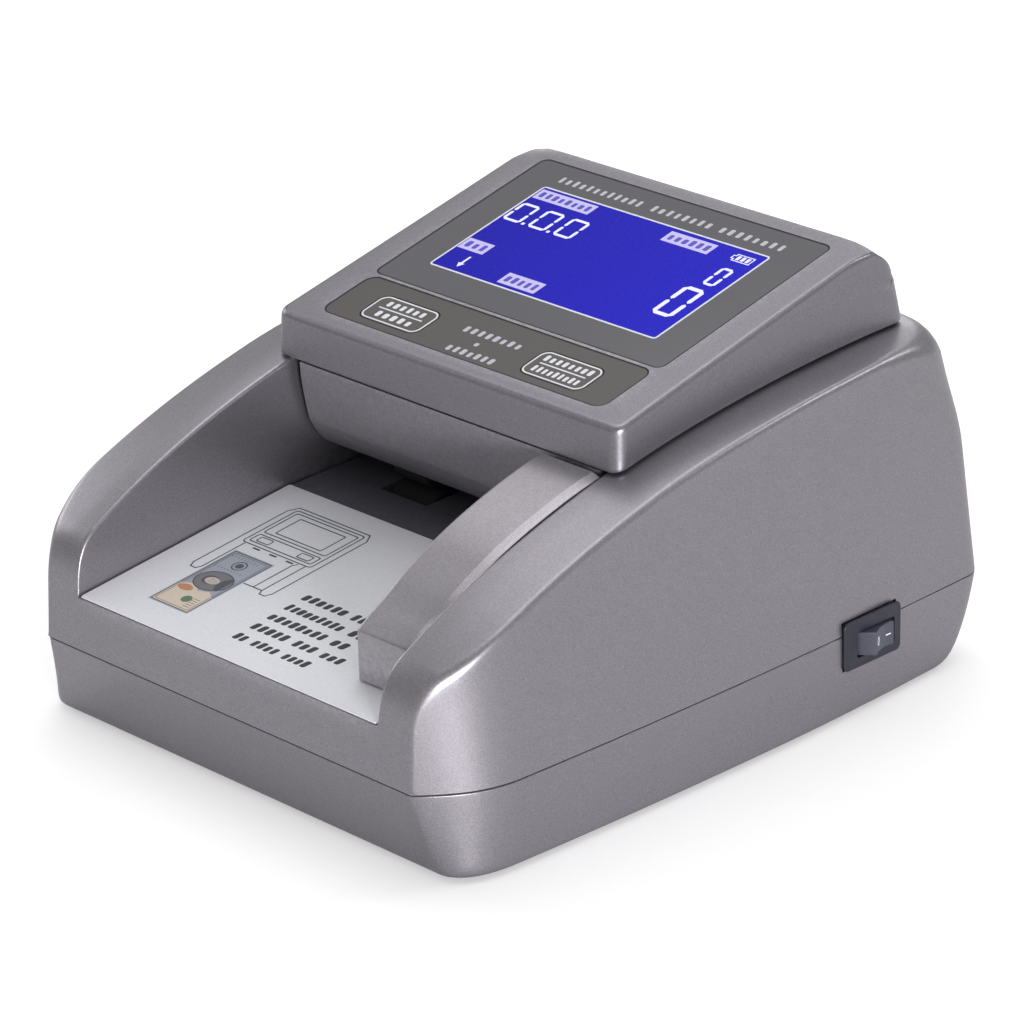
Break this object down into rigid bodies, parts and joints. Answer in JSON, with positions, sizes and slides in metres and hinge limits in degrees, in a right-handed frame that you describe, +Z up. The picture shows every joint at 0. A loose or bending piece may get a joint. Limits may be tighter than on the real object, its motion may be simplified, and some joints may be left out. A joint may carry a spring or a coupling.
{
  "type": "banknote detector and counter",
  "caption": "Compact desktop banknote detector: sloped front feed tray between curved walls, hinged head with display and keys, roller transport inside, rocker switch.",
  "frame": {"origin": "centre of the overall footprint on the table, under the middle of the overall width and depth (1.4 mm right of the shells' mirror plane, because the switch stands out on the right)", "axes": "+X to the machine's right as seen from the front, +Y to the rear (the way a note travels), +Z up"},
  "size_m": [0.1281, 0.15, 0.0884],
  "materials": {
    "body_paint": "fine metallic grey-taupe spray paint on moulded plastic, satin",
    "dark_plastic": "matt black moulded plastic",
    "sensor_black": "smooth dark sensor cover",
    "label": "printed self-adhesive label, satin laminate",
    "window": "glossy grey screen-printed window",
    "lcd": "blue backlit liquid crystal display",
    "panel_film": "brown-grey satin membrane film",
    "circuit_board": "green solder mask on glass-epoxy",
    "motor_can": "plated steel can",
    "battery_wrap": "blue shrink wrap",
    "switch_plastic": "dark slate moulded plastic",
    "steel": "bright or zinc-plated steel",
    "bush_bronze": "sintered bronze or brass",
    "acetal": "natural acetal",
    "rubber": "matt black rubber"
  },
  "bodies": {
    "base": {"bottom_shell": "body_paint", "top_shell": "body_paint", "tray_label": "label", "note_guide": "body_paint", "transport_deck": "dark_plastic", "lower_sensor_bar": "sensor_black", "idler_stud": "steel", "motor": "motor_can", "main_board": "circuit_board", "battery_pack": "battery_wrap", "battery_door": "body_paint", "dc_jack": "switch_plastic", "data_port": "steel", "buzzer": "sensor_black", "switch_housing": "switch_plastic", "hinge_pin_l": "steel", "hinge_pin_r": "steel", "feed_bush_l": "bush_bronze", "feed_bush_r": "bush_bronze", "exit_bush_l": "bush_bronze", "exit_bush_r": "bush_bronze", "foot_front_l": "rubber", "foot_front_r": "rubber", "foot_rear_l": "rubber", "foot_rear_r": "rubber", "screw_front_l": "steel", "screw_front_r": "steel", "screw_rear_l": "steel", "screw_rear_r": "steel"},
    "head": {"head_cover": "body_paint", "head_chassis": "body_paint", "display_window": "window", "lcd_module": "lcd", "key_overlay": "panel_film", "display_board": "circuit_board", "upper_sensor_bar": "sensor_black"},
    "left_key": {"key_left": "panel_film"},
    "right_key": {"key_right": "panel_film"},
    "rocker": {"power_rocker": "switch_plastic"},
    "feed_roller": {"feed_shaft": "steel", "feed_gear": "acetal", "feed_roller_l": "rubber", "feed_roller_r": "rubber"},
    "exit_roller": {"exit_shaft": "steel", "exit_gear": "acetal", "exit_roller_l": "rubber", "exit_roller_r": "rubber"},
    "idler": {"idler_gear": "acetal"},
    "pinion": {"motor_pinion": "bush_bronze"},
    "feed_pinch": {"feed_pinch_shaft": "steel", "feed_pinch_l": "rubber", "feed_pinch_r": "rubber"},
    "exit_pinch": {"exit_pinch_shaft": "steel", "exit_pinch_l": "rubber", "exit_pinch_r": "rubber"}
  },
  "joints": [
    {"name": "head_hinge", "type": "hinge", "parent": "base", "child": "head", "pos_m": [-0.0014, 0.0675, 0.068], "axis": [-1, 0, 0], "range_deg": [0, 60]},
    {"name": "left_key_press", "type": "slide", "parent": "head", "child": "left_key", "axis": [0, 0.2295, -0.9733], "range_m": [0, 0.0004], "stiffness_N_per_m": 500},
    {"name": "right_key_press", "type": "slide", "parent": "head", "child": "right_key", "axis": [0, 0.2295, -0.9733], "range_m": [0, 0.0004], "stiffness_N_per_m": 500},
    {"name": "power_switch", "type": "hinge", "parent": "base", "child": "rocker", "pos_m": [0.059, 0.0394, 0.0156], "axis": [0, 0, -1], "range_deg": [0, 24]},
    {"name": "feed_spin", "type": "hinge", "parent": "base", "child": "feed_roller", "pos_m": [-0.0014, -0.002, 0.03144], "axis": [1, 0, 0], "continuous": true},
    {"name": "exit_spin", "type": "hinge", "parent": "base", "child": "exit_roller", "pos_m": [-0.0014, 0.04, 0.03253], "axis": [1, 0, 0], "continuous": true},
    {"name": "idler_spin", "type": "hinge", "parent": "base", "child": "idler", "pos_m": [-0.0514, 0.019, 0.03199], "axis": [1, 0, 0], "continuous": true},
    {"name": "pinion_spin", "type": "hinge", "parent": "base", "child": "pinion", "pos_m": [-0.0514, -0.01367, 0.01978], "axis": [1, 0, 0], "continuous": true},
    {"name": "feed_pinch_spin", "type": "hinge", "parent": "head", "child": "feed_pinch", "pos_m": [-0.0014, -0.002, 0.04279], "axis": [1, 0, 0], "continuous": true},
    {"name": "exit_pinch_spin", "type": "hinge", "parent": "head", "child": "exit_pinch", "pos_m": [-0.0014, 0.04, 0.04388], "axis": [1, 0, 0], "continuous": true}
  ],
  "couplings": [
    {"joint": "exit_spin", "follows": "feed_spin", "ratio": 1},
    {"joint": "idler_spin", "follows": "feed_spin", "ratio": -1.3333},
    {"joint": "pinion_spin", "follows": "feed_spin", "ratio": -2.6667},
    {"joint": "feed_pinch_spin", "follows": "feed_spin", "ratio": -1.2},
    {"joint": "exit_pinch_spin", "follows": "feed_spin", "ratio": -1.2}
  ]
}
